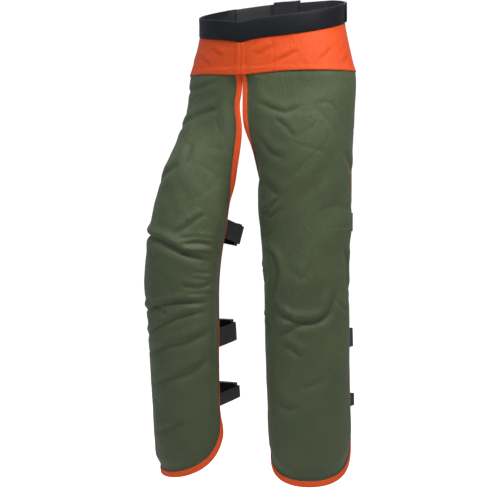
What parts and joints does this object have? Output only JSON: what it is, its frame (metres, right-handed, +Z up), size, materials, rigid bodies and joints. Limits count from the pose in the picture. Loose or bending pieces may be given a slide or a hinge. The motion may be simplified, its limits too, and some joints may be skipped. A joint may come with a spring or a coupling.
{
  "type": "chainsaw chaps",
  "caption": "Apron chainsaw chaps: black waistband, orange yoke, two padded green leg panels with orange bindings, webbing straps and side-release buckles behind.",
  "frame": {"origin": "middle of the wearer's waist, at half the height of the waistband", "axes": "+Z up along the wearer's back, -Y the way the wearer faces, +X to the wearer's left"},
  "size_m": [0.4259, 0.3027, 0.9931],
  "materials": {
    "green_cloth": "satin woven nylon",
    "orange_cloth": "woven polyester",
    "webbing": "ribbed webbing",
    "lining": "matt mesh lining",
    "pad": "layered knitted fibre",
    "buckle": "satin moulded"
  },
  "bodies": {
    "waist": {"waistband": "webbing", "right_yoke": "orange_cloth", "left_yoke": "orange_cloth", "yoke_placket": "orange_cloth", "belt_inner_webbing": "webbing", "belt_outer_webbing": "webbing", "belt_socket": "buckle"},
    "belt_clip": {"belt_clip": "buckle"},
    "right_thigh_strap_clip": {"right_thigh_strap_clip": "buckle"},
    "right_thigh": {"right_thigh_shell": "green_cloth", "right_thigh_pad": "pad", "right_thigh_lining": "lining", "right_thigh_inner_binding": "orange_cloth", "right_thigh_outer_binding": "orange_cloth", "right_thigh_strap_inner_webbing": "webbing", "right_thigh_strap_outer_webbing": "webbing", "right_thigh_strap_socket": "buckle"},
    "right_calf_strap_clip": {"right_calf_strap_clip": "buckle"},
    "right_ankle_strap_clip": {"right_ankle_strap_clip": "buckle"},
    "right_shin": {"right_shin_shell": "green_cloth", "right_shin_pad": "pad", "right_shin_lining": "lining", "right_shin_binding": "orange_cloth", "right_calf_strap_inner_webbing": "webbing", "right_calf_strap_outer_webbing": "webbing", "right_calf_strap_socket": "buckle", "right_ankle_strap_inner_webbing": "webbing", "right_ankle_strap_outer_webbing": "webbing", "right_ankle_strap_socket": "buckle"},
    "left_thigh_strap_clip": {"left_thigh_strap_clip": "buckle"},
    "left_thigh": {"left_thigh_shell": "green_cloth", "left_thigh_pad": "pad", "left_thigh_lining": "lining", "left_thigh_inner_binding": "orange_cloth", "left_thigh_outer_binding": "orange_cloth", "left_thigh_strap_inner_webbing": "webbing", "left_thigh_strap_outer_webbing": "webbing", "left_thigh_strap_socket": "buckle"},
    "left_calf_strap_clip": {"left_calf_strap_clip": "buckle"},
    "left_ankle_strap_clip": {"left_ankle_strap_clip": "buckle"},
    "left_shin": {"left_shin_shell": "green_cloth", "left_shin_pad": "pad", "left_shin_lining": "lining", "left_shin_binding": "orange_cloth", "left_calf_strap_inner_webbing": "webbing", "left_calf_strap_outer_webbing": "webbing", "left_calf_strap_socket": "buckle", "left_ankle_strap_inner_webbing": "webbing", "left_ankle_strap_outer_webbing": "webbing", "left_ankle_strap_socket": "buckle"}
  },
  "joints": [
    {"name": "belt_release", "type": "slide", "parent": "waist", "child": "belt_clip", "axis": [1, 0, 0], "range_m": [0, 0.024]},
    {"name": "right_hip_fold", "type": "hinge", "parent": "waist", "child": "right_thigh", "pos_m": [-0.1, -0.118, -0.112], "axis": [-1, 0, 0], "range_deg": [0, 75]},
    {"name": "right_knee_fold", "type": "hinge", "parent": "right_thigh", "child": "right_shin", "pos_m": [-0.147, -0.042, -0.5], "axis": [1, 0, 0], "range_deg": [0, 80]},
    {"name": "right_thigh_strap_release", "type": "slide", "parent": "right_thigh", "child": "right_thigh_strap_clip", "axis": [-0.9886, 0, 0.1503], "range_m": [0, 0.024]},
    {"name": "right_calf_strap_release", "type": "slide", "parent": "right_shin", "child": "right_calf_strap_clip", "axis": [-1, 0, 0], "range_m": [0, 0.024]},
    {"name": "right_ankle_strap_release", "type": "slide", "parent": "right_shin", "child": "right_ankle_strap_clip", "axis": [-1, 0, 0], "range_m": [0, 0.024]},
    {"name": "left_hip_fold", "type": "hinge", "parent": "waist", "child": "left_thigh", "pos_m": [0.1, -0.118, -0.112], "axis": [-1, 0, 0], "range_deg": [0, 75]},
    {"name": "left_knee_fold", "type": "hinge", "parent": "left_thigh", "child": "left_shin", "pos_m": [0.085, 0.0545, -0.5], "axis": [1, 0, 0], "range_deg": [0, 100]},
    {"name": "left_thigh_strap_release", "type": "slide", "parent": "left_thigh", "child": "left_thigh_strap_clip", "axis": [1, 0, -0.0077], "range_m": [0, 0.024]},
    {"name": "left_calf_strap_release", "type": "slide", "parent": "left_shin", "child": "left_calf_strap_clip", "axis": [0.9997, 0, 0.0227], "range_m": [0, 0.024]},
    {"name": "left_ankle_strap_release", "type": "slide", "parent": "left_shin", "child": "left_ankle_strap_clip", "axis": [0.9997, 0, 0.0227], "range_m": [0, 0.024]}
  ]
}
